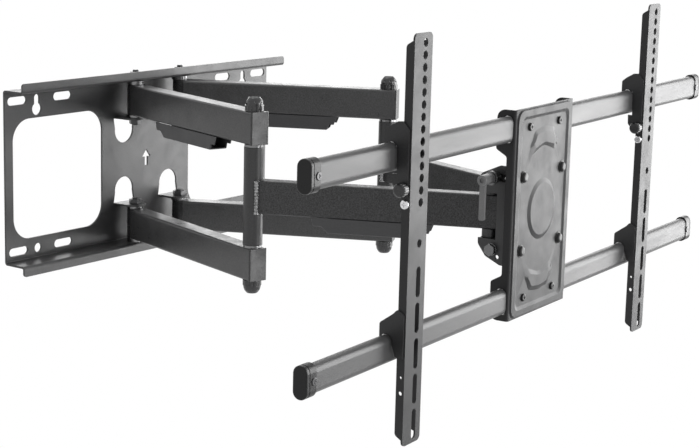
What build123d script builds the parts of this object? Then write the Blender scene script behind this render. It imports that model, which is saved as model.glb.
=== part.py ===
from build123d import *
from math import acos, atan2, cos, degrees, hypot, radians, sin
import os

# Swivel wall mount for a television: two folding arms between a wall plate and a tilting head
# that carries two sliding uprights. Millimetres. +Z is up, +Y goes into the wall, and the origin
# is the middle of the wall plate's back face. The object stands at rest partly pulled out.

# Clearances
running_gap = 0.05
side_play = 0.3
slot_clearance = 0.4

# Wall plate: one folded sheet
wall_half_width = 258.0
wall_half_height = 111.3
wall_depth = 35.0
wall_lip = 10.5
wall_sheet = 2.5
bend_outside = 4.0
bend_inside = 1.5
window_x_near = 85.7
window_x_far = 244.9
window_z_low = 29.3 - wall_half_height
window_z_high = wall_half_height - 39.0
window_corner = 28.0
slot_z = wall_half_height - 14.9
slot_outer_x = 236.9
slot_inner_x = 158.2
slot_length = 32.0
slot_width = 10.5
keyhole_x = 203.2
keyhole_circle = 16.0
keyhole_circle_z = wall_half_height - 27.8
keyhole_neck = 9.0
keyhole_top = wall_half_height - 9.1
low_hole = 12.0
arch_half_width = 19.8
arch_height = 34.1
lug_relief = 1.0
arrow_tip_z = 9.8
arrow_foot_z = -12.8
arrow_half_width = 8.0
arrow_head_height = 10.5
arrow_stem_width = 6.0

# Arms, seen from above
shoulder_x = 43.8
shoulder_y = -23.4
arm_length = 289.8
head_spacing = 87.5
left_link_angle = -17.54
left_forearm_angle = 24.57
head_yaw = 4.09

# Wall links: one pair of tubes on each side
link_width = 25.0
link_height = 40.0
link_top = wall_half_height - wall_sheet - 5.2
link_foot = link_top - link_height
link_wall = 2.0
link_corner = 3.0
link_overrun = 13.0
nose_centre = 3.25
nose_end = 8.8
insert_flange = 2.0
insert_tongue = 2.2
insert_corner = 1.2

# Shoulder bolts, and the lugs below the links that take their nuts
lug_z = link_foot - wall_sheet - 3.8
shoulder_bolt = 8.0
shoulder_collar = 15.0
shoulder_collar_height = 3.0
shoulder_bolt_end = 2.7
hex_across = 13.0
hex_height = 6.5
lug_nut_across = 15.0
nut_chamfer = 1.0
washer_outside = 22.0
bush_wall = 2.5

# Elbows
elbow_pin = 12.0
sleeve_outside = 24.0
sleeve_wall = 3.0
sleeve_half_height = link_foot - 3.6
sleeve_bush_depth = 6.0
cap_radius = 11.5
cap_skirt = 6.8
cap_height = 16.4
cap_top_radius = 6.6
cap_recess_radius = 5.2
cap_recess_depth = 1.2
cap_ribs = 16
cap_rib_radius = 0.9
cap_dimples = 8
cap_dimple_radius = 2.2

# Forearms
forearm_width = 20.2
forearm_height = 40.8
forearm_wall = 2.0
forearm_corner = 2.5

# Cable covers clipped under the tubes
cover_wall = 1.5
cover_depth = 18.0
cover_start = 74.0
cover_length = 148.0
cover_step_run = 13.0
cover_step_drop = 10.5
cover_foot_run = 8.0

# Head yoke: folded sheet that carries both head pivots
head_bolt = 10.0
pivot_to_plate = 44.08
yoke_sheet = 2.5
yoke_half_width = 57.0
yoke_front_y = 13.5
yoke_back_y = 53.0
yoke_top_z = 24.0
yoke_low_z = -31.0
yoke_cheek_y = 30.0
upper_ear_front_y = 11.5
upper_ear_rise = 13.6
upper_ear_nose = 15.5
lower_ear_front_y = 16.0
lower_ear_drop = 18.0
lower_ear_nose = 7.0
ear_hole = 4.8
ear_hole_y = 27.0
ear_hole_drop = 8.5
head_bush_outside = 19.5
head_bolt_head = 14.0
head_bolt_head_height = 5.7
head_bolt_foot_height = 3.0

# Tilt: a bracket on the centre plate turns on a bolt in the yoke's lower ears
tilt_axis_y = 34.5
tilt_axis_z = -43.0
tilt_bolt = 8.0
clamp_y = 31.7
clamp_z = 43.9
clamp_bolt = 8.0
clamp_head_height = 3.5
clamp_collar_radius = 7.0
clamp_collar_length = 11.7
clamp_washer_radius = 8.5
clamp_washer_thickness = 2.3
tilt_back = 3.0
tilt_forward = 8.0
bracket_sheet = 2.5
bracket_half_width = 60.0
bracket_half_height = 56.0
bracket_hole = 3.2
lever_hub_radius = 6.2
lever_hub_length = 21.9
lever_socket_radius = 2.8
lever_socket_depth = 2.0
lever_length = 47.0
lever_width = 7.0
lever_thickness = 4.0

# Centre plate
plate_half_width = 75.9
plate_half_height = 124.1
plate_sheet = 2.5
plate_rise = 2.0
plate_side_depth = 10.0
plate_ear_depth = 24.0
plate_ear_start = plate_half_height - 46.1
plate_ear_ramp = 8.0
plate_ear_corner = 10.0
frame_bead_x = 62.0
frame_bead_z = plate_half_height - 9.1
frame_bead_corner = 12.0
bead_width = 4.0
bead_height = 1.2
pressing_height = 1.8
pressing_slope = 40
disc_radius = 34.5
lobe_half_width = 36.5
lobe_high_z = plate_half_height - 26.1
lobe_low_z = lobe_high_z - 28.0
dome_bolt_x = 50.3
dome_bolt_z = 43.7
dome_bolt_head = 15.0
dome_bolt_height = 4.2
plate_screw_x = 38.3
plate_screw_head = 9.5

# Cross bars
bar_z = plate_half_height - 22.6
bar_height = 30.6
bar_depth = 15.0
bar_wall = 1.8
bar_centre_y = 10.2
bar_reach = 495.2
bar_cap_height = 35.0
bar_cap_depth = 17.0
bar_cap_collar = 11.0
bar_cap_end = 6.0
bar_screw_from_end = 13.0
bar_screw_head = 8.5

# Uprights that the television screws to
rail_x = [-333.4, 263.7]
rail_width = 36.4
rail_front_y = -13.0
rail_sheet = 2.0
rail_top = 228.5
rail_foot = -205.5
rail_left_depth = 9.7
rail_right_depth = 11.0
rail_flange_hole_y = -8.3
rail_flange_holes = [(-130.3, 3.0), (-147.6, 4.5)]
rail_hole_from_left = 22.4
rail_hole = 9.0
rail_hole_top = 218.3
rail_hole_pitch = 12.7
rail_hole_count = 14
rail_single_hole = 10.0
rail_slot_top = -31.0
rail_slot_pitch = 38.5
rail_slot_count = 5
rail_slot_length = 33.0
rail_slot_width = 8.5
hook_sheet = 2.0
knob_y = -5.5
knob_z = 69.1
knob_radius = 7.5
knob_length = 9.0
knob_dome = 3.0
rail_screw_y = -7.4
rail_screw_z = 53.5
rail_screw_head = 10.0


def from_above(angle):
    """Unit step along an arm whose angle is counted from straight out, towards +X."""
    return sin(radians(angle)), -cos(radians(angle))


def step(start, angle, length):
    x, y = from_above(angle)
    return start[0] + x * length, start[1] + y * length


left_shoulder = (-shoulder_x, shoulder_y)
right_shoulder = (shoulder_x, shoulder_y)
left_elbow = step(left_shoulder, left_link_angle, arm_length)
left_head = step(left_elbow, left_forearm_angle, arm_length)
right_head = (
    left_head[0] + head_spacing * cos(radians(head_yaw)),
    left_head[1] + head_spacing * sin(radians(head_yaw)),
)
right_reach = hypot(right_head[0] - right_shoulder[0], right_head[1] - right_shoulder[1])
right_bearing = degrees(
    atan2(right_head[0] - right_shoulder[0], right_shoulder[1] - right_head[1])
)
right_spread = degrees(acos(right_reach / 2 / arm_length))
right_link_angle = right_bearing + right_spread
right_forearm_angle = right_bearing - right_spread
right_elbow = step(right_shoulder, right_link_angle, arm_length)

head_middle = ((left_head[0] + right_head[0]) / 2, (left_head[1] + right_head[1]) / 2)
plate_origin = (
    head_middle[0] + pivot_to_plate * sin(radians(head_yaw)),
    head_middle[1] - pivot_to_plate * cos(radians(head_yaw)),
)
yoke_place = Location((plate_origin[0], plate_origin[1], 0), (0, 0, head_yaw))
plate_place = Location((plate_origin[0], plate_origin[1], plate_rise), (0, 0, head_yaw))


def block(x0, x1, y0, y1, z0, z1):
    return Pos((x0 + x1) / 2, (y0 + y1) / 2, (z0 + z1) / 2) * Box(x1 - x0, y1 - y0, z1 - z0)


def post(at, z0, z1, radius):
    """Upright cylinder at a point of the plan."""
    return Pos(at[0], at[1], (z0 + z1) / 2) * Cylinder(radius, z1 - z0)


def ring(at, z0, z1, outside, inside):
    return post(at, z0, z1, outside / 2) - post(at, z0 - 1, z1 + 1, inside / 2)


def rod_x(y, z, x0, x1, radius):
    return Pos((x0 + x1) / 2, y, z) * Rot(0, 90, 0) * Cylinder(radius, x1 - x0)


def rod_y(x, z, y0, y1, radius):
    return Pos(x, (y0 + y1) / 2, z) * Rot(90, 0, 0) * Cylinder(radius, y1 - y0)


def sheet_y(face, y0, y1):
    """A face drawn in X and Z, made solid between two depths."""
    return Pos(0, y1, 0) * extrude(Plane.XZ * face, y1 - y0)


def sheet_x(face, x0, x1):
    """A face drawn in Y and Z, made solid between two X positions."""
    return Pos(x0, 0, 0) * extrude(Plane.YZ * face, x1 - x0)


def sheet_z(face, z0, z1):
    return Pos(0, 0, z0) * extrude(face, z1 - z0)


def outline(points, corners=None):
    """Closed outline. corners maps a point's number to its fillet radius."""
    face = make_face(Polyline(*points, close=True))
    for number, radius in (corners or {}).items():
        x, y = points[number]
        nearest = face.vertices().sort_by_distance((x, y, 0))[0]
        face = fillet(nearest, radius)
    return face


def both_heights(make):
    """The same thing above and below the arms' middle plane."""
    upper = make()
    return [upper, mirror(upper, Plane.XY)]


def save(name, *solids):
    """One STEP file for a node. Several solids stay separate in it."""
    pieces = []
    for shape in solids:
        pieces.extend(shape.solids())
    whole = pieces[0] if len(pieces) == 1 else Compound(children=pieces)
    export_step(whole, f"parts/{name}.step")


# Wall plate
def wall_profile():
    h, d, t, lip = wall_half_height, wall_depth, wall_sheet, wall_lip
    points = [
        (0, -h), (0, h), (-d + t, h), (-d + t, h + lip), (-d, h + lip), (-d, h - t),
        (-t, h - t), (-t, t - h), (-d, t - h), (-d, -h - lip), (-d + t, -h - lip), (-d + t, -h),
    ]
    radii = {0: bend_outside, 1: bend_outside, 2: bend_inside, 5: bend_outside, 6: bend_inside,
             7: bend_inside, 8: bend_outside, 11: bend_inside}
    return outline(points, radii)


def arch(half_width, height):
    """Round-topped tongue, base on the X axis."""
    shoulder = 0.42 * height
    narrow = 0.88 * half_width
    sides = Polyline((-narrow, shoulder), (-half_width, 0), (half_width, 0), (narrow, shoulder))
    top = ThreePointArc((narrow, shoulder), (0, height), (-narrow, shoulder))
    return make_face(sides + top)


def keyhole():
    circle = Pos(keyhole_x, keyhole_circle_z) * Circle(keyhole_circle / 2)
    neck_length = keyhole_top - keyhole_circle_z
    neck = Pos(keyhole_x, keyhole_circle_z + neck_length / 2 - keyhole_neck / 4) * Rectangle(
        keyhole_neck, neck_length - keyhole_neck / 2)
    end = Pos(keyhole_x, keyhole_top - keyhole_neck / 2) * Circle(keyhole_neck / 2)
    return circle + neck + end


def arrow():
    stem = arrow_stem_width / 2
    barb = arrow_tip_z - arrow_head_height
    return outline([
        (0, arrow_tip_z), (arrow_half_width, barb), (stem, barb), (stem, arrow_foot_z),
        (-stem, arrow_foot_z), (-stem, barb), (-arrow_half_width, barb),
    ])


def half_of_wall_holes():
    window = Pos((window_x_near + window_x_far) / 2, (window_z_low + window_z_high) / 2) * (
        RectangleRounded(window_x_far - window_x_near, window_z_high - window_z_low, window_corner))
    holes = window + keyhole() + Pos(keyhole_x, -slot_z) * Circle(low_hole / 2)
    for x in (slot_outer_x, slot_inner_x):
        for z in (-slot_z, slot_z):
            holes += Pos(x, z) * SlotOverall(slot_length, slot_width)
    opening = arch(arch_half_width, arch_height)
    holes += Pos(shoulder_x, -lug_z) * opening
    holes += Pos(shoulder_x, lug_z) * Rot(0, 0, 180) * opening
    return holes


def lug():
    """Tongue bent forward from an arch, with the shoulder bolt's hole. The lower one."""
    tongue = arch(arch_half_width - lug_relief, arch_height + wall_sheet)
    tongue = Pos(shoulder_x, 0) * Rot(0, 0, 180) * tongue
    plate = sheet_z(tongue, -lug_z - wall_sheet, -lug_z)
    return plate - post(right_shoulder, -lug_z - 5, -lug_z + 5, shoulder_bolt / 2 + running_gap)


def wall_plate():
    plate = Pos(-wall_half_width, 0, 0) * extrude(Plane.YZ * wall_profile(), 2 * wall_half_width)
    holes = half_of_wall_holes()
    holes = holes + mirror(holes, Plane.YZ) + arrow()
    plate -= sheet_y(holes, -wall_sheet - 1, 1)
    low = lug()
    for tongue in (low, mirror(low, Plane.XY)):
        plate += tongue
        plate += mirror(tongue, Plane.YZ)
    for at in (left_shoulder, right_shoulder):
        plate -= post(at, wall_half_height - 5, wall_half_height + 5, shoulder_bolt / 2 + running_gap)
        plate -= post(at, -wall_half_height - 5, 5 - wall_half_height, shoulder_bolt / 2 + running_gap)
    tips = plate.edges().filter_by(Axis.Y).filter_by(
        lambda e: abs(e.center().Z) > wall_half_height + wall_lip - 0.1)
    return fillet(tips, bend_outside)


# Shoulder hardware
def hexagon(at, z0, z1, across):
    """Six-sided head or nut with its corners turned down at both ends."""
    prism = Pos(at[0], at[1], z0) * extrude(
        RegularPolygon(across / 2, 6, major_radius=False), z1 - z0)
    turned = post(at, z0, z1, across / 2 / cos(radians(30)))
    return prism & chamfer(turned.edges().filter_by(GeomType.CIRCLE), nut_chamfer)


def shoulder_bolt_at(at):
    """Upper bolt: collar and hexagon on the flange, shank down through link and lug."""
    seat = wall_half_height
    collar_top = seat + shoulder_collar_height
    hex_top = collar_top + hex_height
    shank = post(at, lug_z - hex_height - 1.5, hex_top + shoulder_bolt_end, shoulder_bolt / 2)
    shank = chamfer(shank.edges().sort_by(Axis.Z)[-1], nut_chamfer)
    collar = post(at, seat, collar_top, shoulder_collar / 2)
    return shank + collar + hexagon(at, collar_top, hex_top, hex_across)


def shoulder_nut_at(at):
    nut = hexagon(at, lug_z - hex_height, lug_z, lug_nut_across)
    return nut - post(at, 0, link_top, shoulder_bolt / 2)


def shoulder_washers_at(at):
    hole = shoulder_bolt + 2 * running_gap
    under = ring(at, lug_z + wall_sheet, link_foot - side_play, washer_outside, hole)
    over = ring(at, link_top + side_play, wall_half_height - wall_sheet, washer_outside, hole)
    return [under, over]


# Wall links
def hollow_tube(width, height, wall, corner, start, end):
    """Tube along +X, upright section centred on the axis."""
    outer = RectangleRounded(width, height, corner)
    inner = RectangleRounded(width - 2 * wall, height - 2 * wall, max(corner - wall, 0.6))
    return Pos(start, 0, 0) * extrude(Plane.YZ * (outer - inner), end - start)


def spigot(width, height, wall):
    """Section of the part of a plug that goes into a tube."""
    play = 2 * wall + slot_clearance
    return RectangleRounded(width - play, height - play, insert_corner)


def end_insert(width, height, wall, at):
    """Plug with a flange that stands proud of the tube's end by its own thickness."""
    flange = Pos(at + insert_flange / 2, 0, 0) * Box(insert_flange, width, height)
    upright = flange.edges().filter_by(Axis.Z).filter_by(
        lambda e: e.center().X > at + insert_flange / 2)
    flange = fillet(upright, insert_flange * 0.8)
    return flange + sheet_x(spigot(width, height, wall), at - insert_tongue, at)


def laid_along(shape, start, angle, middle_z):
    """Turns a thing made along +X to lie on an arm."""
    x, y = from_above(angle)
    return Location((start[0], start[1], middle_z), (0, 0, degrees(atan2(y, x)))) * shape


def wall_link_tube():
    half = link_height / 2
    tube = hollow_tube(link_width, link_height, link_wall, link_corner,
                       nose_end, arm_length + link_overrun - insert_flange)
    elbow = (arm_length, 0)
    tube += post(elbow, link_wall / 2 - half, half - link_wall / 2, elbow_pin / 2 + bush_wall)
    return tube - post(elbow, -half - 1, half + 1, elbow_pin / 2 + running_gap)


def link_nose():
    """Plug at a link's wall end: round in plan, bored for the shoulder bolt, spigot in the tube."""
    r, half = link_width / 2, link_height / 2
    nose = ThreePointArc((nose_centre, r), (nose_centre - r, 0), (nose_centre, -r))
    sides = Polyline((nose_centre, -r), (nose_end, -r), (nose_end, r), (nose_centre, r))
    plug = sheet_z(make_face(nose + sides), -half, half)
    rims = plug.edges().filter_by(
        lambda e: abs(abs(e.center().Z) - half) < 0.01 and e.center().X < nose_end - 0.1)
    section = spigot(link_width, link_height, link_wall)
    plug = fillet(rims, link_corner / 3) + sheet_x(section, nose_end, nose_end + insert_tongue)
    return plug - post((0, 0), -half - 1, half + 1, shoulder_bolt / 2 + running_gap)


def wall_link_inserts():
    end = arm_length + link_overrun - insert_flange
    return [link_nose(), end_insert(link_width, link_height, link_wall, end)]


def on_link(shape, start, angle):
    return laid_along(shape, start, angle, link_foot + link_height / 2)


# Elbows
def elbow_cap(at):
    """Moulded cap on the upper link: ribbed skirt, domed shoulder, dished top."""
    base = link_top + side_play
    side = Polyline((0, 0), (cap_radius, 0), (cap_radius, cap_skirt), (cap_radius - 0.8, cap_skirt))
    dome = ThreePointArc((cap_radius - 0.8, cap_skirt), (cap_radius - 1.7, cap_height - 4.4),
                         (cap_top_radius, cap_height))
    dish = Polyline((cap_top_radius, cap_height), (cap_recess_radius, cap_height - cap_recess_depth),
                    (0, cap_height - cap_recess_depth), (0, 0))
    cap = revolve(Plane.XZ * make_face(side + dome + dish), Axis.Z)
    for number in range(cap_ribs):
        turn = Rot(0, 0, 360 / cap_ribs * number)
        groove = Pos(cap_radius + 0.3, 0, cap_skirt / 2) * Cylinder(cap_rib_radius, cap_skirt - 1.6)
        cap -= turn * groove
    dimple_z = (cap_skirt + cap_height) / 2
    for number in range(cap_dimples):
        turn = Rot(0, 0, 360 / cap_dimples * number)
        cap -= turn * Pos(cap_radius, 0, dimple_z) * Sphere(cap_dimple_radius)
    return Pos(at[0], at[1], base) * cap


def elbow_washer(at):
    return ring(at, sleeve_half_height + side_play, link_foot - side_play, sleeve_outside - 1,
                elbow_pin + 2 * running_gap)


def elbow_pin_through(at):
    """Closed elbow: one pin through both links and the sleeve, its ends in the caps."""
    end = link_top + side_play
    return post(at, -end, end, elbow_pin / 2)


def elbow_pin_short(at):
    """Open elbow: a pin in each link that stops at the sleeve's end."""
    return post(at, sleeve_half_height + side_play, link_top + side_play, elbow_pin / 2)


def sleeve(at):
    return ring(at, -sleeve_half_height, sleeve_half_height, sleeve_outside,
                sleeve_outside - 2 * sleeve_wall)


def sleeve_bushes(at):
    upper = ring(at, sleeve_half_height - sleeve_bush_depth, sleeve_half_height,
                 sleeve_outside - 2 * sleeve_wall, elbow_pin + 2 * running_gap)
    return [upper, mirror(upper, Plane.XY)]


# Forearms
def forearm_tube():
    half = forearm_height / 2
    tube = hollow_tube(forearm_width, forearm_height, forearm_wall, forearm_corner,
                       0, arm_length + link_overrun - insert_flange)
    tube -= post((0, 0), -half - 1, half + 1, sleeve_outside / 2)
    at = (arm_length, 0)
    tube += post(at, forearm_wall / 2 - half, half - forearm_wall / 2, head_bolt / 2 + bush_wall)
    return tube - post(at, -half - 1, half + 1, head_bolt / 2 + running_gap)


def forearm_insert():
    return end_insert(forearm_width, forearm_height, forearm_wall,
                      arm_length + link_overrun - insert_flange)


def cable_cover(width, under):
    """Channel under a tube, open at both ends, each end cut in two steps."""
    first, last = cover_start, cover_start + cover_length
    run, foot = cover_step_run, cover_foot_run
    low, mid = under - cover_depth, under - cover_step_drop
    side = outline([
        (first, under), (first + 3, mid), (first + run, mid), (first + run + foot, low),
        (last - run, low), (last - run + 2, mid), (last - 4, mid), (last, under),
    ], {1: 2.5, 2: 2.0, 3: 3.0, 4: 2.0})
    solid = Pos(0, width / 2, 0) * extrude(Plane.XZ * side, width)
    inside = block(first - 1, last + 1, cover_wall - width / 2, width / 2 - cover_wall,
                   low + cover_wall, under + 1)
    bottom = solid.edges().filter_by(Axis.X).filter_by(lambda e: e.center().Z < low + 0.1)
    return fillet(bottom, cover_wall * 0.9) - inside


# Head yoke
def yoke_flange():
    """Plan of the yoke's top or bottom flange, with a round end about each pivot."""
    half = head_spacing / 2
    reach = yoke_back_y - pivot_to_plate
    side = yoke_half_width
    back = yoke_back_y
    return outline([
        (-side, yoke_front_y), (side, yoke_front_y), (side, back), (half - reach, back),
        (half - 2 * reach, back - reach), (2 * reach - half, back - reach), (reach - half, back),
        (-side, back),
    ], {2: reach, 3: reach / 2, 4: reach / 2, 5: reach / 2, 6: reach / 2, 7: reach})


def clamp_radius():
    return hypot(clamp_y - tilt_axis_y, clamp_z - tilt_axis_z)


def clamp_lean():
    """How far the clamp bolt stands behind the tilt axis, as an angle from upright."""
    return degrees(atan2(clamp_y - tilt_axis_y, clamp_z - tilt_axis_z))


def on_clamp_arc(lean):
    r = clamp_radius()
    return tilt_axis_y + r * sin(radians(lean)), tilt_axis_z + r * cos(radians(lean))


def clamp_slot():
    """Arc slot about the tilt axis, as long as the tilt's range."""
    half = clamp_bolt / 2 + slot_clearance
    first = clamp_lean() - tilt_forward - 0.5
    last = clamp_lean() + tilt_back + 0.5
    face = Sketch() + [Pos(*on_clamp_arc(a)) * Circle(half) for a in (first, last)]
    r = clamp_radius()
    centre = (tilt_axis_y, tilt_axis_z)
    band = Pos(*centre) * (Circle(r + half) - Circle(r - half))
    far = 2 * r
    wedge = outline([
        centre,
        (centre[0] + far * sin(radians(first)), centre[1] + far * cos(radians(first))),
        (centre[0] + far * sin(radians(last)), centre[1] + far * cos(radians(last))),
    ])
    return face + (band & wedge)


def upper_ear():
    front, back = upper_ear_front_y, yoke_back_y
    top = clamp_z + upper_ear_rise
    slope_foot = (clamp_z + yoke_top_z) / 2 + upper_ear_rise - clamp_bolt / 4
    face = outline([
        (front, yoke_top_z), (back, yoke_top_z), (back, slope_foot), (front + upper_ear_nose, top),
        (front, top),
    ], {2: clamp_bolt, 3: clamp_bolt / 2, 4: clamp_bolt / 3})
    return face - clamp_slot()


def lower_ear():
    front, back = lower_ear_front_y, yoke_back_y
    top, foot = yoke_low_z, tilt_axis_z - lower_ear_drop
    face = outline([
        (front, top), (front, foot), (front + lower_ear_nose, foot),
        (tilt_axis_y + tilt_bolt, tilt_axis_z - lower_ear_drop / 2),
        (back, top - lower_ear_nose), (back, top),
    ], {1: 3.0, 2: 6.0, 3: 5.0, 4: 8.0})
    face -= Pos(tilt_axis_y, tilt_axis_z) * Circle(tilt_bolt / 2 + running_gap)
    return face - Pos(ear_hole_y, tilt_axis_z - ear_hole_drop) * Circle(ear_hole / 2)


def yoke():
    side, t = yoke_half_width, yoke_sheet
    top, low = yoke_top_z, yoke_low_z
    flange = yoke_flange()
    body = sheet_z(flange, top, top + t) + sheet_z(flange, low - t, low)
    body += block(-side, side, yoke_front_y, yoke_front_y + t, low - t, top + t)
    for x in (-side, side - t):
        body += sheet_x(upper_ear(), x, x + t) + sheet_x(lower_ear(), x, x + t)
        body += block(x, x + t, yoke_front_y, yoke_cheek_y, low, top)
    for x in (-head_spacing / 2, head_spacing / 2):
        body -= post((x, pivot_to_plate), low - 2 * t, top + 2 * t, head_bolt / 2 + running_gap)
    return body


def head_bolt_at(at):
    """Bolt through the yoke's flanges and a forearm's end, low riveted foot."""
    top = yoke_top_z + yoke_sheet + side_play
    low = yoke_low_z - yoke_sheet - side_play
    shank = post(at, low - head_bolt_foot_height + 0.5, top + 1, head_bolt / 2)
    head = post(at, top, top + head_bolt_head_height, head_bolt_head / 2)
    head = chamfer(head.edges().sort_by(Axis.Z)[-1], 1.0)
    socket = Pos(at[0], at[1], top + head_bolt_head_height - 3) * extrude(
        RegularPolygon(3.0, 6, major_radius=False), 4)
    foot = post(at, low - head_bolt_foot_height, low, head_bolt_head / 2)
    foot = fillet(foot.edges().sort_by(Axis.Z)[0], 1.2)
    return shank + head + foot - socket


def head_washer_at(at):
    low = forearm_height / 2 + side_play
    return ring(at, low, yoke_top_z - side_play, head_bush_outside, head_bolt + 2 * running_gap)


def head_bush_at(at):
    top = -forearm_height / 2 - side_play
    return ring(at, yoke_low_z + side_play, top, head_bush_outside, head_bolt + 2 * running_gap)


# Tilt bracket and clamp
def tilt_bracket():
    """Base on the plate's back, with two tabs a side for the clamp and the tilt bolt."""
    t = bracket_sheet
    y0 = plate_sheet
    base = RectangleRounded(2 * bracket_half_width, 2 * bracket_half_height, 6)
    base = Pos(0, plate_rise) * base
    for x in (-dome_bolt_x, dome_bolt_x):
        for z in (-dome_bolt_z, dome_bolt_z):
            base -= Pos(x, z + plate_rise) * Circle(bracket_hole)
    bracket = sheet_y(base, y0, y0 + t)
    outer = yoke_half_width - yoke_sheet - side_play
    upper_bolt = dome_bolt_z + plate_rise
    root = upper_bolt - bracket_hole - 1
    upper = outline([
        (y0, clamp_z - 12), (clamp_y + 7, clamp_z - 12), (clamp_y + 7, clamp_z + 7),
        (clamp_y - 8, clamp_z + 7), (clamp_y - 8, root), (y0, root),
    ], {1: 3.0, 2: 5.0, 3: 5.0, 4: 3.0})
    upper -= Pos(clamp_y, clamp_z) * Circle(clamp_bolt / 2 + running_gap)
    root = plate_rise - dome_bolt_z - bracket_hole - 1
    lower = outline([
        (y0, root), (y0, tilt_axis_z - 8), (tilt_axis_y + 7, tilt_axis_z - 6),
        (tilt_axis_y + 7, tilt_axis_z + 4.8), (tilt_axis_y - 8, tilt_axis_z + 4.8),
        (y0 + 6, root),
    ], {2: 4.0, 3: 3.0, 4: 5.0})
    lower -= Pos(tilt_axis_y, tilt_axis_z) * Circle(tilt_bolt / 2 + running_gap)
    for face in (upper, lower):
        bracket += sheet_x(face, outer - t, outer)
        bracket += sheet_x(face, -outer, t - outer)
    return bracket


def tilt_bolt_solid():
    side = yoke_half_width + side_play
    shank = rod_x(tilt_axis_y, tilt_axis_z, -side - 4, side + 6, tilt_bolt / 2)
    washer = rod_x(tilt_axis_y, tilt_axis_z, -side - 1.5, -side, 7.5)
    head = hexagon((0, 0), 0, 5.0, hex_across)
    return shank + washer + Pos(-side - 6.5, tilt_axis_y, tilt_axis_z) * Rot(0, 90, 0) * head


def tilt_nut():
    side = yoke_half_width + side_play
    nut = Pos(side, tilt_axis_y, tilt_axis_z) * Rot(0, 90, 0) * hexagon((0, 0), 0, 5.0, hex_across)
    return nut - rod_x(tilt_axis_y, tilt_axis_z, 0, side + 9, tilt_bolt / 2)


def clamp_stack_end():
    """Outer face of the washer that the lever's hub turns against."""
    return -yoke_half_width - side_play - clamp_collar_length - clamp_washer_thickness


def clamp_bolt_solid():
    side = yoke_half_width + side_play
    end = clamp_stack_end() - lever_hub_length / 2
    shank = rod_x(clamp_y, clamp_z, end, side + clamp_head_height / 2, clamp_bolt / 2)
    head = rod_x(clamp_y, clamp_z, side, side + clamp_head_height, clamp_collar_radius)
    return shank + fillet(head.edges().sort_by(Axis.X)[-1], clamp_head_height / 3)


def clamp_washers():
    """Long collar against the yoke's ear with a wide washer on its end."""
    side, end = -yoke_half_width - side_play, clamp_stack_end()
    stack = rod_x(clamp_y, clamp_z, end, side, clamp_collar_radius)
    stack += rod_x(clamp_y, clamp_z, end, end + clamp_washer_thickness, clamp_washer_radius)
    return stack - rod_x(clamp_y, clamp_z, end - 1, 0, clamp_bolt / 2 + running_gap)


def clamp_lever():
    """Hub on the clamp bolt with a flat handle hanging from it and a socket in its face."""
    near = clamp_stack_end() - side_play
    far = near - lever_hub_length
    hub = rod_x(clamp_y, clamp_z, far, near, lever_hub_radius)
    hub = fillet(hub.edges().sort_by(Axis.X)[0], 1.0)
    handle = Pos(clamp_y, clamp_z - lever_length / 2) * RectangleRounded(lever_width, lever_length, 2.0)
    inset = lever_thickness / 2
    lever = hub + sheet_x(handle, far + inset, far + inset + lever_thickness)
    lever -= rod_x(clamp_y, clamp_z, far - 1, far + lever_socket_depth, lever_socket_radius)
    bore = clamp_bolt / 2 + running_gap
    end = clamp_stack_end() - lever_hub_length / 2 - side_play
    return lever - rod_x(clamp_y, clamp_z, end, near + 1, bore)


# Centre plate
def plate_side():
    """Side flange of the centre plate, deeper in an ear at each end, drawn in Y and Z."""
    h, near, far = plate_half_height, plate_side_depth, plate_ear_depth
    start, low_start = plate_ear_start, plate_ear_start - plate_ear_ramp
    face = outline([
        (0, -h), (far, -h), (far, -start), (near, -low_start), (near, low_start), (far, start),
        (far, h), (0, h),
    ], {1: plate_ear_corner, 2: 4.0, 3: 4.0, 4: 4.0, 5: 4.0, 6: plate_ear_corner})
    for z in (-bar_z, bar_z):
        hole = Rot(0, 0, 90) * SlotOverall(bar_height + 2 * slot_clearance, bar_depth + 2 * slot_clearance)
        face -= Pos(bar_centre_y, z) * hole
    return face


def lobes():
    """Three-lobed pressing above the disc, its lower edge hollow towards the disc."""
    low, w = lobe_low_z, lobe_half_width
    rise = lobe_high_z - low
    half = [(0.74 * w, low), (w, low + 0.24 * rise), (0.8 * w, low + 0.52 * rise),
            (0.66 * w, low + 0.86 * rise)]
    other = [(-x, z) for x, z in reversed(half)]
    points = [(0, low + 0.28 * rise)] + half + [(0, lobe_high_z)] + other
    radii = {0: 25.0, 1: 5.0, 2: 5.0, 3: 12.0, 4: 7.0, 5: 50.0, 6: 7.0, 7: 12.0, 8: 5.0, 9: 5.0}
    return outline(points, radii)


def raised(face):
    """Pressing that stands forward of the plate, its edges sloped."""
    return extrude(Plane.XZ * face, pressing_height, taper=pressing_slope)


def bead_of(face):
    """Band along the edge of a face, a bead's width."""
    return face - offset(face, -bead_width)


def centre_plate():
    w, t = plate_half_width, plate_sheet
    flat = Rectangle(2 * w, 2 * plate_half_height)
    plate = sheet_y(flat, 0, t)
    plate += sheet_x(plate_side(), w - t, w) + sheet_x(plate_side(), -w, t - w)
    folds = plate.edges().filter_by(Axis.Z).filter_by(
        lambda e: abs(e.center().Y) < 0.01 and abs(abs(e.center().X) - w) < 0.01)
    plate = fillet(folds, t + 1)
    frame = RectangleRounded(2 * frame_bead_x, 2 * frame_bead_z, frame_bead_corner)
    plate += sheet_y(bead_of(frame), -bead_height, 0)
    upper = raised(lobes())
    plate += [raised(Circle(disc_radius)), upper, mirror(upper, Plane.XY)]
    for x in (-dome_bolt_x, dome_bolt_x):
        for z in (-dome_bolt_z, dome_bolt_z):
            plate -= rod_y(x, z, -5, t + 1, 3.2)
    for x in (-plate_screw_x, plate_screw_x):
        for z in (-bar_z, bar_z):
            plate -= rod_y(x, z, -5, t + 1, 2.7)
    return plate


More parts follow.
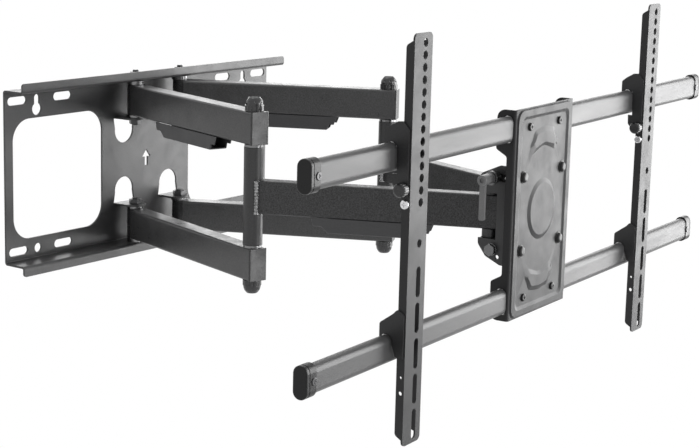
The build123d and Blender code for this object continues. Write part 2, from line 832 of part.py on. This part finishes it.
def dome_bolts():
    bolts = []
    for x in (-dome_bolt_x, dome_bolt_x):
        for z in (-dome_bolt_z, dome_bolt_z):
            r, h = dome_bolt_head / 2, dome_bolt_height
            dome = post((0, 0), 0, h, r - 1.2)
            dome = fillet(dome.edges().sort_by(Axis.Z)[-1], h - 0.8)
            head = dome + post((0, 0), 0, 0.7, r)
            shank = post((0, 0), -plate_sheet - bracket_sheet - 0.8, 0.5, 3.0)
            bolts.append(Pos(x, 0, z) * Rot(90, 0, 0) * (head + shank))
    return bolts


def cross_screw(head, height, shank, length):
    """Pan-head screw along +Z with a cross recess, seat at zero."""
    dome = Pos(0, 0, height / 2) * Cylinder(head / 2, height)
    dome = fillet(dome.edges().sort_by(Axis.Z)[-1], height * 0.7)
    screw = dome + Pos(0, 0, -length / 2) * Cylinder(shank / 2, length)
    arm = head * 0.5
    cross = Box(arm, arm / 4, height) + Box(arm / 4, arm, height)
    return screw - Pos(0, 0, height) * cross


def plate_screws():
    screw = cross_screw(plate_screw_head, 2.4, 5.0, plate_sheet + 6)
    return [Pos(x, 0, z) * Rot(90, 0, 0) * screw
            for x in (-plate_screw_x, plate_screw_x) for z in (-bar_z, bar_z)]


# Cross bars
def oblong(height, depth):
    return Rot(0, 0, 90) * SlotOverall(height, depth)


def cross_bar(z):
    section = oblong(bar_height, bar_depth) - oblong(bar_height - 2 * bar_wall, bar_depth - 2 * bar_wall)
    reach = bar_reach - bar_cap_end
    bar = sheet_x(Pos(bar_centre_y, z) * section, -reach, reach)
    front = bar_centre_y - bar_depth / 2
    for x in (-plate_screw_x, plate_screw_x):
        bar -= rod_y(x, z, front - 1, front + 3, 2.6)
    end_hole = bar_reach - bar_screw_from_end
    for x in (-end_hole, end_hole):
        bar -= rod_y(x, z, front - 1, front + 3, 1.6)
    return bar


def bar_cap(z):
    """Right-hand end cap: a collar round the bar and a closed end."""
    section = oblong(bar_cap_height, bar_cap_depth)
    hole = oblong(bar_height + 0.1, bar_depth + 0.1)
    end = bar_reach - bar_cap_end
    collar = sheet_x(Pos(bar_centre_y, z) * (section - hole), end - bar_cap_collar, end)
    collar -= rod_y(bar_reach - bar_screw_from_end, z, 0, bar_centre_y, 1.6)
    closed = sheet_x(Pos(bar_centre_y, z) * section, end, bar_reach)
    closed = fillet(closed.edges().filter_by(Plane.YZ).sort_by(Axis.X)[-4:], 1.5)
    return collar + closed


def bar_cap_screw(z):
    x = bar_reach - bar_screw_from_end
    front = bar_centre_y - bar_cap_depth / 2
    return Pos(x, front, z) * Rot(90, 0, 0) * cross_screw(bar_screw_head, 0.9, 3.0, 4.0)


def bar_caps():
    right = [bar_cap(z) for z in (-bar_z, bar_z)]
    return right + [mirror(cap, Plane.YZ) for cap in right]


def bar_cap_screws():
    right = [bar_cap_screw(z) for z in (-bar_z, bar_z)]
    return right + [mirror(screw, Plane.YZ) for screw in right]


# Uprights
def rail(x):
    """Channel with a deep left flange, a shallow right one, round holes above, slots below."""
    t, front, w = rail_sheet, rail_front_y, rail_width
    web = Pos(x + w / 2, (rail_top + rail_foot) / 2) * Rectangle(w, rail_top - rail_foot)
    web = fillet(web.vertices(), 6)
    line = x + rail_hole_from_left
    heights = [rail_hole_top - rail_hole_pitch * n for n in range(rail_hole_count)]
    for z in heights + [rail_single_hole]:
        web -= Pos(line, z) * Circle(rail_hole / 2)
    for n in range(rail_slot_count):
        slot = Rot(0, 0, 90) * SlotOverall(rail_slot_length, rail_slot_width)
        web -= Pos(line, rail_slot_top - rail_slot_pitch * n) * slot
    body = sheet_y(web, front, front + t)
    deep = outline([
        (front, rail_foot + 6), (front + rail_left_depth, rail_foot + 12),
        (front + rail_left_depth, rail_top - 12), (front, rail_top - 6),
    ], {1: 5.0, 2: 5.0})
    shallow = outline([
        (front, rail_foot + 6), (front + rail_right_depth, rail_foot + 10),
        (front + rail_right_depth, rail_top - 10), (front, rail_top - 6),
    ], {1: 3.0, 2: 3.0})
    body += sheet_x(deep, x, x + t) + sheet_x(shallow, x + w - t, x + w)
    for z, across in rail_flange_holes:
        body -= rod_x(rail_flange_hole_y, z, x - 1, x + t + 1, across / 2)
    return body - rod_x(rail_screw_y, rail_screw_z, x - 1, x + t + 1, 2.1)


def bar_notch(z):
    """Room for a bar and for lifting the hook off it, drawn in Y and Z."""
    around = oblong(bar_height + 2 * slot_clearance, bar_depth + 2 * slot_clearance)
    front = bar_centre_y - bar_depth / 2 - slot_clearance
    side = bar_depth / 2
    low = z - bar_height
    behind = outline([(front, z), (front, low), (front + 60, low), (front + 60, z + side),
                      (bar_centre_y, z + side), (bar_centre_y, z)])
    return Pos(bar_centre_y, z) * around + behind


def upper_hook(x):
    front = rail_front_y + 2.0
    face = outline([
        (front, 62), (front, 131), (-4, 139.4), (2.8, 138.7), (12.1, 133.2), (18.6, 128),
        (18.6, 100), (8, 100), (8, 86), (7.5, 73.1), (2.6, 67.4), (-2, 62),
    ], {1: 5.0, 2: 4.0, 5: 3.0, 9: 3.0, 10: 3.0})
    notch = bar_notch(bar_z)
    keep = outline([(front - 1, 50), (front - 1, 84.5), (30, 84.5), (30, 50)])
    face = (face - notch) + (face & keep)
    face -= Pos(knob_y, knob_z) * Circle(2.6)
    return sheet_x(face, x - hook_sheet, x)


def lower_hook(x):
    front = rail_front_y + 1.5
    face = outline([
        (front, -109), (front, -62), (-3.2, -57.4), (1.4, -62.4), (17.8, -74.1), (17.8, -96),
        (2.5, -96), (-2, -109),
    ], {1: 4.0, 2: 3.0, 4: 4.0, 7: 3.0})
    return sheet_x(face - bar_notch(-bar_z), x - hook_sheet, x)


def knob(x):
    """Thumb screw that locks a hook under the upper bar."""
    base = x - hook_sheet - side_play
    body = rod_x(knob_y, knob_z, base - knob_length, base, knob_radius)
    rims = body.edges().filter_by(GeomType.CIRCLE).sort_by(Axis.X)
    body = fillet(rims[0], knob_dome)
    for number in range(18):
        angle = radians(20 * number)
        y = knob_y + knob_radius * sin(angle)
        z = knob_z + knob_radius * cos(angle)
        body -= rod_x(y, z, base - knob_length - 1, base + 1, 0.5)
    return body + rod_x(knob_y, knob_z, base - 1, base + hook_sheet + side_play, 2.5)


def rail_screw(x):
    screw = cross_screw(rail_screw_head, 2.6, 4.0, 3.5)
    return Pos(x, rail_screw_y, rail_screw_z) * Rot(0, -90, 0) * screw


def build_wall_side():
    save("wall_plate", wall_plate())
    save("left_shoulder_bolts", *both_heights(lambda: shoulder_bolt_at(left_shoulder)))
    save("left_shoulder_nuts", *both_heights(lambda: shoulder_nut_at(left_shoulder)))
    save("right_shoulder_bolts", *both_heights(lambda: shoulder_bolt_at(right_shoulder)))
    save("right_shoulder_nuts", *both_heights(lambda: shoulder_nut_at(right_shoulder)))
    for side, at in (("left", left_shoulder), ("right", right_shoulder)):
        washers = shoulder_washers_at(at)
        save(f"{side}_shoulder_washers", *washers, *[mirror(w, Plane.XY) for w in washers])


def build_links():
    tube = wall_link_tube()
    inserts = wall_link_inserts()
    cover = cable_cover(link_width, -link_height / 2)
    arms = (
        ("left", left_shoulder, left_link_angle),
        ("right", right_shoulder, right_link_angle),
    )
    for side, start, angle in arms:
        upper = on_link(tube, start, angle)
        ends = [on_link(insert, start, angle) for insert in inserts]
        save(f"{side}_upper_link", upper)
        save(f"{side}_lower_link", mirror(upper, Plane.XY))
        save(f"{side}_link_inserts", *ends, *[mirror(end, Plane.XY) for end in ends])
        save(f"{side}_link_cover", on_link(cover, start, angle))


def build_elbows():
    save("left_elbow_pin", elbow_pin_through(left_elbow))
    save("left_elbow_caps", *both_heights(lambda: elbow_cap(left_elbow)))
    save("left_elbow_washers", *both_heights(lambda: elbow_washer(left_elbow)))
    save("right_elbow_pins", *both_heights(lambda: elbow_pin_short(right_elbow)))
    save("right_elbow_caps", *both_heights(lambda: elbow_cap(right_elbow)))
    save("right_elbow_washers", *both_heights(lambda: elbow_washer(right_elbow)))


def build_forearms():
    tube = forearm_tube()
    insert = forearm_insert()
    cover = cable_cover(forearm_width, -forearm_height / 2)
    arms = (("left", left_elbow, left_forearm_angle), ("right", right_elbow, right_forearm_angle))
    for side, start, angle in arms:
        save(f"{side}_sleeve", sleeve(start))
        save(f"{side}_sleeve_bushes", *sleeve_bushes(start))
        save(f"{side}_forearm", laid_along(tube, start, angle, 0))
        save(f"{side}_forearm_insert", laid_along(insert, start, angle, 0))
    save("forearm_cover", laid_along(cover, left_elbow, left_forearm_angle, 0))


def build_head():
    save("yoke", yoke_place * yoke())
    half = head_spacing / 2
    for side, x in (("left", -half), ("right", half)):
        at = (x, pivot_to_plate)
        save(f"{side}_head_bolt", yoke_place * head_bolt_at(at))
        save(f"{side}_head_washer", yoke_place * head_washer_at(at))
        save(f"{side}_head_bush", yoke_place * head_bush_at(at))
    save("tilt_bracket", yoke_place * tilt_bracket())
    save("tilt_bolt", yoke_place * tilt_bolt_solid())
    save("tilt_nut", yoke_place * tilt_nut())
    save("clamp_bolt", yoke_place * clamp_bolt_solid())
    save("clamp_washer", yoke_place * clamp_washers())
    save("clamp_lever", yoke_place * clamp_lever())


def build_plate():
    save("centre_plate", plate_place * centre_plate())
    save("dome_bolts", *[plate_place * bolt for bolt in dome_bolts()])
    save("plate_screws", *[plate_place * screw for screw in plate_screws()])
    save("upper_bar", plate_place * cross_bar(bar_z))
    save("lower_bar", plate_place * cross_bar(-bar_z))
    save("bar_caps", *[plate_place * cap for cap in bar_caps()])
    save("bar_cap_screws", *[plate_place * screw for screw in bar_cap_screws()])


def build_rails():
    for side, x in zip(("left", "right"), rail_x):
        save(f"{side}_rail", plate_place * rail(x))
        save(f"{side}_upper_hook", plate_place * upper_hook(x))
        save(f"{side}_lower_hook", plate_place * lower_hook(x))
        save(f"{side}_knob", plate_place * knob(x))
        save(f"{side}_rail_screw", plate_place * rail_screw(x))


os.makedirs("parts", exist_ok=True)
build_wall_side()
build_links()
build_elbows()
build_forearms()
build_head()
build_plate()
build_rails()
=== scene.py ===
import bpy
from math import hypot, radians
from mathutils import Matrix, Vector


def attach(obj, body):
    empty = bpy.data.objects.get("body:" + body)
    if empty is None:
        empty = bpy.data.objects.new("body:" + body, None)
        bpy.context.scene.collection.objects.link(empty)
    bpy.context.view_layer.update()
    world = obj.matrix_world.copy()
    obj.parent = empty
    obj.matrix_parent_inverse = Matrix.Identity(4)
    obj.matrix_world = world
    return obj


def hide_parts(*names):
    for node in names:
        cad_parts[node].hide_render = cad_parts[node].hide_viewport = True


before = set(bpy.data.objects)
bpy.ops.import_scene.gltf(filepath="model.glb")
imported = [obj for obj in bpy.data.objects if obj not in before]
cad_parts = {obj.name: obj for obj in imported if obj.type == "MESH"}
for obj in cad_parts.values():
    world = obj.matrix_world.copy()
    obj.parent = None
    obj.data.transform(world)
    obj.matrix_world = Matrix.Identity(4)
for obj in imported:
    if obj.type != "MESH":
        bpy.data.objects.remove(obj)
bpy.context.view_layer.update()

sides = ("left", "right")

# Camera: the photograph's viewing place in metres, and its axes
camera_place = (-1.76929, -1.64156, 0.38815)
camera_right = (0.59359, -0.80438, 0.02515)
camera_up = (0.14219, 0.13559, 0.98051)
camera_back = (-0.79211, -0.57844, 0.19486)
camera_lens = 91.30
sensor_width = 36.0

# Arms seen from above, in metres and degrees
elbow_places = {"left": (-0.1311, -0.2997), "right": (0.1719, -0.28335)}
forearm_angles = {"left": 24.57, "right": -19.19}
forearm_half_height = 0.0204

# Welds between each sleeve and its forearm, in metres and degrees
weld_radius = 0.0036
weld_forward = 0.0068
weld_aside = 0.0112
weld_ripples = 11
weld_pinch = 0.66
weld_sides = 10
weld_ring_reach = 0.0002
weld_smooth_below = 60

# Centre plate: its own frame in metres and degrees
plate_place = (0.036145, -0.604133, 0.002)
plate_turn = 4.09
plate_smooth_below = 14
doubles_reach = 0.000002

# Depths in front of the plate's panel that tell its edges apart, in metres
panel_reach = 0.0001
proud_from = 0.0005
border_until = 0.0014
lobe_top_from = 0.0016
border_rise = 0.0005

# Outlines of the plate's pressings, in millimetres
frame_edges = {"outer": (62.0, 115.0), "inner": (58.0, 111.0)}
frame_corner = 12.0
frame_reach = 0.25
disc_foot, disc_top = 34.5, 33.2
disc_reach = 0.6
lobe_half_width = 37.5
lobe_low, lobe_middle, lobe_high = 68.5, 85.0, 99.0
screw_hole_x, screw_hole_z = 38.3, 101.5
screw_hole_reach = 4.0

# How far each outline of the pressings moves, across and up
frame_foot_scale = (1.160, 1.072)
frame_brow_scale = (1.140, 1.062)
panel_edge_scale = (1.065, 1.034)
disc_foot_scale = (1.06, 1.06)
disc_top_scale = (0.945, 0.945)
lobe_foot_scale = (1.06, 1.12)
lobe_top_scale = (0.90, 0.74)

# Studio
floor_drop = -1.25
floor_size = 16.0
floor_grey = 0.9
floor_roughness = 0.9
world_level = 0.40
middle = Vector((0.0, -0.42, 0.0))

# Lamps: direction from the middle, distance, width and height in metres, watts
lamps = {
    "front_right_box": ((0.86, -0.50, 0.10), 2.4, 2.2, 1.8, 84),
    "front_strip": ((0.20, -0.97, 0.06), 2.6, 0.60, 1.8, 26),
    "overhead_box": ((0.15, 0.25, 1.0), 2.2, 2.4, 1.6, 20),
    "back_box": ((0.79, 0.60, 0.22), 2.6, 2.4, 0.9, 16),
}

# Noise of the finishes: its scales, and the part of its range that shows
wide_scale, wide_detail = 9.0, 4.0
smudge_scale, smudge_detail, smudge_rough = 38.0, 5.0, 0.65
grain_range = (0.35, 0.65)
gloss_range = (0.3, 0.7)
shade_range = (0.7, 1.3)
grain_gloss = 0.04
grain_strength = 0.7
ripple_strength, ripple_depth = 0.25, 0.0004
edge_samples = 4


# Materials
def new_material(name):
    material = bpy.data.materials.new(name)
    material.use_nodes = True
    return material


def node(owner, kind, *numbered, **named):
    """Adds a node to a material or the world. Sockets are linked to it, other values are set."""
    added = owner.node_tree.nodes.new(kind)
    values = [(added.inputs[place], value) for place, value in enumerate(numbered)]
    values += [(added.inputs[name], value) for name, value in named.items()]
    for socket, value in values:
        if isinstance(value, bpy.types.NodeSocket):
            owner.node_tree.links.new(value, socket)
        else:
            socket.default_value = value
    return added


def noise(material, coordinates, scale, detail=3.0, rough=0.55):
    return node(material, "ShaderNodeTexNoise", Vector=coordinates, Scale=scale, Detail=detail,
                Roughness=rough).outputs["Fac"]


def ranged(owner, value, source, target):
    """The value with its source range stretched to the target range."""
    return node(owner, "ShaderNodeMapRange", value, *source, *target).outputs[0]


def tinted(material, factor, first, second):
    """Mixes two colours, which are inputs 6 and 7 and output 2 of Blender's mix node."""
    added = material.node_tree.nodes.new("ShaderNodeMix")
    added.data_type = "RGBA"
    material.node_tree.links.new(factor, added.inputs[0])
    added.inputs[6].default_value = (*first, 1.0)
    added.inputs[7].default_value = (*second, 1.0)
    return added.outputs[2]


def combined(owner, first, second, operation="ADD"):
    added = node(owner, "ShaderNodeMath", first, second)
    added.operation = operation
    return added.outputs[0]


def lighter(colour, factor):
    return tuple(min(1.0, part * factor) for part in colour)


def surface(name, colour, roughness, grain=1100.0, grain_depth=0.00003, speckle=0.25, mottle=0.12,
            gloss_spread=0.08, metal=0.0, shine=0.5, edge=0.0006, brushed=None, coat=0.0):
    """A finish with a fine grain in colour and relief, wide mottling and uneven gloss."""
    material = new_material(name)
    shader = material.node_tree.nodes["Principled BSDF"]
    links = material.node_tree.links
    place = material.node_tree.nodes.new("ShaderNodeTexCoord").outputs["Object"]
    if brushed:
        place = node(material, "ShaderNodeMapping", Vector=place, Scale=brushed).outputs["Vector"]
    fine = noise(material, place, grain)
    wide = noise(material, place, wide_scale, wide_detail)
    smudge = noise(material, place, smudge_scale, smudge_detail, smudge_rough)

    grains = ranged(material, fine, grain_range, (0.0, 1.0))
    spots = tinted(material, grains, lighter(colour, 1 - speckle), lighter(colour, 1 + speckle))
    clouds = combined(material, wide, smudge)
    shade = ranged(material, clouds, shade_range, (1 - mottle, 1 + mottle))
    scaled = material.node_tree.nodes.new("ShaderNodeVectorMath")
    scaled.operation = "SCALE"
    links.new(spots, scaled.inputs[0])
    links.new(shade, scaled.inputs["Scale"])
    links.new(scaled.outputs[0], shader.inputs["Base Color"])

    worn = ranged(material, smudge, gloss_range,
                  (roughness - gloss_spread, roughness + gloss_spread))
    dusted = ranged(material, fine, gloss_range, (-grain_gloss, grain_gloss))
    links.new(combined(material, worn, dusted), shader.inputs["Roughness"])
    shader.inputs["Metallic"].default_value = metal
    shader.inputs["Specular IOR Level"].default_value = shine
    shader.inputs["Coat Weight"].default_value = coat

    rounded = node(material, "ShaderNodeBevel", Radius=edge)
    rounded.samples = edge_samples
    relief = node(material, "ShaderNodeBump", Strength=grain_strength, Distance=grain_depth,
                  Height=fine, Normal=rounded.outputs[0])
    ripple = node(material, "ShaderNodeBump", Strength=ripple_strength, Distance=ripple_depth,
                  Height=smudge, Normal=relief.outputs[0])
    links.new(ripple.outputs[0], shader.inputs["Normal"])
    return material


finishes = {
    "wall_powder_coat": dict(colour=(0.032, 0.032, 0.033), roughness=0.40, shine=0.52),
    # The links wear the forearms' powder coat; this copy is lighter as painted light, making up
    # for the lamp light their faces get too little of.
    "link_powder_coat_and_painted_light": dict(colour=(0.050, 0.050, 0.051), roughness=0.36, speckle=0.45,
                             grain=800.0, grain_depth=0.0001, shine=0.55),
    "arm_powder_coat": dict(colour=(0.033, 0.033, 0.034), roughness=0.38, speckle=0.8,
                            grain=700.0, grain_depth=0.00025, shine=0.42),
    "insert_moulding": dict(colour=(0.026, 0.026, 0.027), roughness=0.26, grain=1500.0),
    "sleeve_paint": dict(colour=(0.036, 0.036, 0.037), roughness=0.36, speckle=0.3,
                         grain=900.0, grain_depth=0.00004, gloss_spread=0.04, shine=0.45),
    "bearing_nylon": dict(colour=(0.02, 0.02, 0.021), roughness=0.34, grain=1500.0),
    "cover_moulding": dict(colour=(0.05, 0.05, 0.052), roughness=0.48, grain=1600.0),
    "cap_moulding": dict(colour=(0.014, 0.014, 0.015), roughness=0.18, grain=1600.0,
                         gloss_spread=0.04, shine=0.65, edge=0.0004),
    "bar_cap_moulding": dict(colour=(0.010, 0.010, 0.0105), roughness=0.34, grain=1600.0,
                             shine=0.25, edge=0.0004),
    "black_oxide": dict(colour=(0.05, 0.05, 0.052), roughness=0.30, grain=1700.0, metal=0.55,
                        edge=0.0004),
    "phosphate": dict(colour=(0.14, 0.14, 0.142), roughness=0.22, grain=1700.0, metal=0.9,
                      edge=0.0011),
    "gloss_black": dict(colour=(0.006, 0.006, 0.0062), roughness=0.34, grain=1700.0,
                        grain_depth=0.00002, gloss_spread=0.04, shine=0.28, edge=0.0012),
    "dull_zinc": dict(colour=(0.19, 0.19, 0.192), roughness=0.22, grain=1900.0, speckle=0.10,
                      metal=1.0, edge=0.0004),
    "bright_zinc": dict(colour=(0.62, 0.62, 0.63), roughness=0.24, grain=1900.0, speckle=0.08,
                        metal=1.0, edge=0.0004),
    "head_powder_coat": dict(colour=(0.022, 0.022, 0.023), roughness=0.40),
    "lever_paint": dict(colour=(0.19, 0.19, 0.192), roughness=0.38, speckle=0.15),
    "plate_powder_coat": dict(colour=(0.024, 0.024, 0.025), roughness=0.42, speckle=0.12,
                              shine=0.19, edge=0.0012),
    "bar_satin_paint": dict(colour=(0.072, 0.072, 0.073), roughness=0.38, speckle=0.05,
                            shine=0.3, brushed=(0.12, 1.0, 1.0)),
    "rail_powder_coat": dict(colour=(0.040, 0.040, 0.041), roughness=0.42, speckle=0.12,
                             shine=0.20),
    "hook_powder_coat": dict(colour=(0.03, 0.03, 0.031), roughness=0.38, shine=0.35),
    "knob_moulding": dict(colour=(0.02, 0.02, 0.021), roughness=0.22, edge=0.0003),
    # The weld is painted with the sleeve's dark powder coat; its much lighter base colour is
    # painted highlight for the bead's ripples.
    "weld_paint_and_painted_highlight": dict(colour=(0.24, 0.24, 0.242), roughness=0.20, grain=420.0,
                            grain_depth=0.0003, speckle=0.7, metal=0.7, coat=0.5),
}
material_of = {name: surface(name, **values) for name, values in finishes.items()}


def both(*names):
    """Names of the pieces that each side has."""
    return [f"{side}_{name}" for side in sides for name in names]


worn_by = {
    "wall_powder_coat": ["wall_plate"],
    "link_powder_coat_and_painted_light": both("upper_link", "lower_link"),
    "arm_powder_coat": both("forearm"),
    "insert_moulding": both("link_inserts", "forearm_insert"),
    "sleeve_paint": both("sleeve"),
    "bearing_nylon": both("sleeve_bushes", "head_washer", "head_bush"),
    "cover_moulding": [*both("link_cover"), "forearm_cover"],
    "cap_moulding": both("elbow_caps"),
    "bar_cap_moulding": ["bar_caps"],
    "black_oxide": [*both("shoulder_bolts", "shoulder_nuts", "head_bolt"), "left_elbow_pin",
                    "right_elbow_pins", "bar_cap_screws"],
    "phosphate": ["tilt_bolt", "tilt_nut", "clamp_bolt", "clamp_washer"],
    "gloss_black": ["dome_bolts", "plate_screws"],
    "dull_zinc": both("elbow_washers", "shoulder_washers"),
    "bright_zinc": both("rail_screw"),
    "head_powder_coat": ["yoke", "tilt_bracket"],
    "lever_paint": ["clamp_lever"],
    "plate_powder_coat": ["centre_plate"],
    "bar_satin_paint": ["upper_bar", "lower_bar"],
    "rail_powder_coat": both("rail"),
    "hook_powder_coat": both("upper_hook", "lower_hook"),
    "knob_moulding": both("knob"),
}
for finish, names in worn_by.items():
    for name in names:
        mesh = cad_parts[name].data
        for number in range(len(mesh.materials)):
            mesh.materials[number] = material_of[finish]
        if not mesh.materials:
            mesh.materials.append(material_of[finish])


# New pieces
def alone(obj):
    bpy.ops.object.select_all(action="DESELECT")
    obj.select_set(True)
    bpy.context.view_layer.objects.active = obj


def applied(obj):
    """Puts the object's place and turn into its mesh."""
    alone(obj)
    bpy.ops.object.transform_apply(location=True, rotation=True, scale=True)
    return obj


def select_by(obj, test):
    """Selects the vertices that pass the test, and leaves the object in edit mode."""
    bpy.ops.object.mode_set(mode="OBJECT")
    for polygon in obj.data.polygons:
        polygon.select = False
    for line in obj.data.edges:
        line.select = False
    for vertex in obj.data.vertices:
        vertex.select = test(vertex.co)
    bpy.ops.object.mode_set(mode="EDIT")
    bpy.ops.mesh.select_mode(type="VERT")


def resized(obj, test, scale, centre=(0, 0, 0)):
    select_by(obj, test)
    bpy.ops.transform.resize(value=scale, center_override=centre)


def upright_weld(x, y):
    """Rippled weld along the upright corner between sleeve and forearm."""
    length = 2 * forearm_half_height
    bpy.ops.object.select_all(action="DESELECT")
    bpy.ops.mesh.primitive_cylinder_add(vertices=weld_sides, radius=weld_radius, depth=length,
                                        location=(x, y, 0))
    weld = applied(bpy.context.object)
    bpy.ops.object.mode_set(mode="EDIT")
    step = length / weld_ripples / 2
    heights = [step * number - forearm_half_height for number in range(1, 2 * weld_ripples)]
    for height in heights:
        bpy.ops.mesh.select_all(action="SELECT")
        bpy.ops.mesh.bisect(plane_co=(0, 0, height), plane_no=(0, 0, 1))
    for height in heights[1::2]:
        resized(weld, lambda co: abs(co.z - height) < weld_ring_reach,
                (weld_pinch, weld_pinch, 1.0), (x, y, height))
    bpy.ops.object.mode_set(mode="OBJECT")
    return weld


def forearm_weld(side):
    """The two welds of one forearm, as one piece."""
    welds = [upright_weld(weld_forward, y) for y in (weld_aside, -weld_aside)]
    alone(welds[0])
    welds[1].select_set(True)
    bpy.ops.object.join()
    weld = bpy.context.object
    weld.name = f"{side}_sleeve_weld"
    weld.data.materials.clear()
    weld.data.materials.append(material_of["weld_paint_and_painted_highlight"])
    x, y = elbow_places[side]
    turn = radians(forearm_angles[side] - 90)
    weld.matrix_world = Matrix.Translation((x, y, 0)) @ Matrix.Rotation(turn, 4, "Z")
    applied(weld)
    bpy.ops.object.shade_smooth_by_angle(angle=radians(weld_smooth_below))
    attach(weld, f"{side}_forearm")


for side in sides:
    forearm_weld(side)


def across_and_up(co):
    """Place on the plate's face, in millimetres."""
    return co.x * 1000, co.z * 1000


def in_panel(co):
    return abs(co.y) < panel_reach


def proud(co):
    return co.y < -proud_from


def on_frame_edge(co, name):
    """True on one rounded rectangle of the plate's frame."""
    x, z = across_and_up(co)
    half_x, half_z = frame_edges[name]
    corner = frame_corner - (frame_edges["outer"][0] - half_x)
    over_x, over_z = abs(x) - half_x + corner, abs(z) - half_z + corner
    reach = hypot(over_x, over_z) if min(over_x, over_z) > 0 else max(over_x, over_z)
    return abs(reach - corner) < frame_reach


def on_disc_edge(co, radius):
    return abs(hypot(*across_and_up(co)) - radius) < disc_reach


def near_screw(co):
    """True on the rims of the screw holes beside the lobes."""
    x, z = across_and_up(co)
    return hypot(abs(x) - screw_hole_x, abs(z) - screw_hole_z) < screw_hole_reach


def raise_border(plate):
    """Spreads the frame's bead to the plate's rim, as a border round a lower panel."""
    for test, edge, (x, z) in ((in_panel, "outer", frame_foot_scale),
                               (proud, "outer", frame_brow_scale),
                               (proud, "inner", panel_edge_scale)):
        resized(plate, lambda co: test(co) and on_frame_edge(co, edge), (x, 1.0, z))
    select_by(plate, lambda co: proud(co) and co.y > -border_until)
    bpy.ops.transform.translate(value=(0, -border_rise, 0))


def widen_disc(plate):
    for test, radius, (x, z) in ((in_panel, disc_foot, disc_foot_scale),
                                 (proud, disc_top, disc_top_scale)):
        resized(plate, lambda co: test(co) and on_disc_edge(co, radius), (x, 1.0, z))


def widen_lobe(plate, sign):
    """Widens the slopes of the lobe above the disc, sign 1, or below it, sign -1."""
    def inside(co):
        x, z = across_and_up(co)
        return abs(x) < lobe_half_width and lobe_low < sign * z < lobe_high

    def foot(co):
        return in_panel(co) and inside(co) and not near_screw(co)

    def top(co):
        return co.y < -lobe_top_from and inside(co)

    centre = (0, 0, sign * lobe_middle / 1000)
    for test, (x, z) in ((foot, lobe_foot_scale), (top, lobe_top_scale)):
        resized(plate, test, (x, 1.0, z), centre)


def pressed_plate():
    """Copy of the plate with a raised border, and wider slopes round the disc and the lobes."""
    alone(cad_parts["centre_plate"])
    bpy.ops.object.duplicate()
    plate = bpy.context.object
    plate.name = "pressed_centre_plate"
    shape = Matrix.Translation(plate_place) @ Matrix.Rotation(radians(plate_turn), 4, "Z")
    plate.matrix_world = shape.inverted()
    applied(plate)
    bpy.ops.mesh.customdata_custom_splitnormals_clear()
    bpy.ops.object.mode_set(mode="EDIT")
    bpy.ops.mesh.select_all(action="SELECT")
    bpy.ops.mesh.remove_doubles(threshold=doubles_reach)
    raise_border(plate)
    widen_disc(plate)
    for sign in (1, -1):
        widen_lobe(plate, sign)
    bpy.ops.mesh.select_all(action="SELECT")
    bpy.ops.mesh.normals_make_consistent(inside=False)
    bpy.ops.object.mode_set(mode="OBJECT")
    plate.matrix_world = shape
    applied(plate)
    bpy.ops.object.shade_smooth_by_angle(angle=radians(plate_smooth_below))
    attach(plate, "tilt_head")
    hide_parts("centre_plate")


pressed_plate()


# Floor, world, lamps and camera
def looked_at(owner):
    """One for the camera's rays and for reflections, zero for light that reaches a surface."""
    path = owner.node_tree.nodes.new("ShaderNodeLightPath").outputs
    seen = combined(owner, path["Is Camera Ray"], path["Is Glossy Ray"], "MAXIMUM")
    return combined(owner, seen, path["Is Transmission Ray"], "MAXIMUM")


def floor():
    bpy.ops.object.select_all(action="DESELECT")
    bpy.ops.mesh.primitive_plane_add(size=floor_size, location=(0, 0, floor_drop))
    ground = applied(bpy.context.object)
    ground.name = "studio_floor"
    pale = new_material("pale_floor")
    tree = pale.node_tree
    matt = tree.nodes["Principled BSDF"]
    matt.inputs["Base Color"].default_value = (floor_grey, floor_grey, floor_grey, 1.0)
    matt.inputs["Roughness"].default_value = floor_roughness
    glow = node(pale, "ShaderNodeEmission", Color=(1.0, 1.0, 1.0, 1.0), Strength=1.0)
    mixed = node(pale, "ShaderNodeMixShader", looked_at(pale), matt.outputs[0], glow.outputs[0])
    tree.links.new(mixed.outputs[0], tree.nodes["Material Output"].inputs["Surface"])
    ground.data.materials.append(pale)


def studio_world():
    world = bpy.data.worlds.new("studio")
    world.use_nodes = True
    bpy.context.scene.world = world
    back = world.node_tree.nodes["Background"]
    strength = ranged(world, looked_at(world), (0.0, 1.0), (world_level, 1.0))
    back.inputs["Color"].default_value = (1.0, 1.0, 1.0, 1.0)
    world.node_tree.links.new(strength, back.inputs["Strength"])


def soft_lamp(name, direction, distance, width, height, watts):
    """A soft box that looks at the middle of the object."""
    data = bpy.data.lights.new(name, "AREA")
    data.shape = "RECTANGLE"
    data.size, data.size_y = width, height
    data.energy = watts
    lamp = bpy.data.objects.new(name, data)
    bpy.context.scene.collection.objects.link(lamp)
    towards = Vector(direction).normalized()
    lamp.location = middle + towards * distance
    lamp.rotation_euler = towards.to_track_quat("Z", "Y").to_euler()
    lamp.visible_camera = False


def photo_camera():
    data = bpy.data.cameras.new("photo_camera")
    data.sensor_width = sensor_width
    data.lens = camera_lens
    camera = bpy.data.objects.new("photo_camera", data)
    bpy.context.scene.collection.objects.link(camera)
    turned = Matrix((camera_right, camera_up, camera_back)).transposed().to_4x4()
    camera.matrix_world = Matrix.Translation(camera_place) @ turned
    bpy.context.scene.camera = camera


floor()
studio_world()
for name, values in lamps.items():
    soft_lamp(name, *values)
photo_camera()
bpy.context.scene.view_settings.view_transform = "Standard"
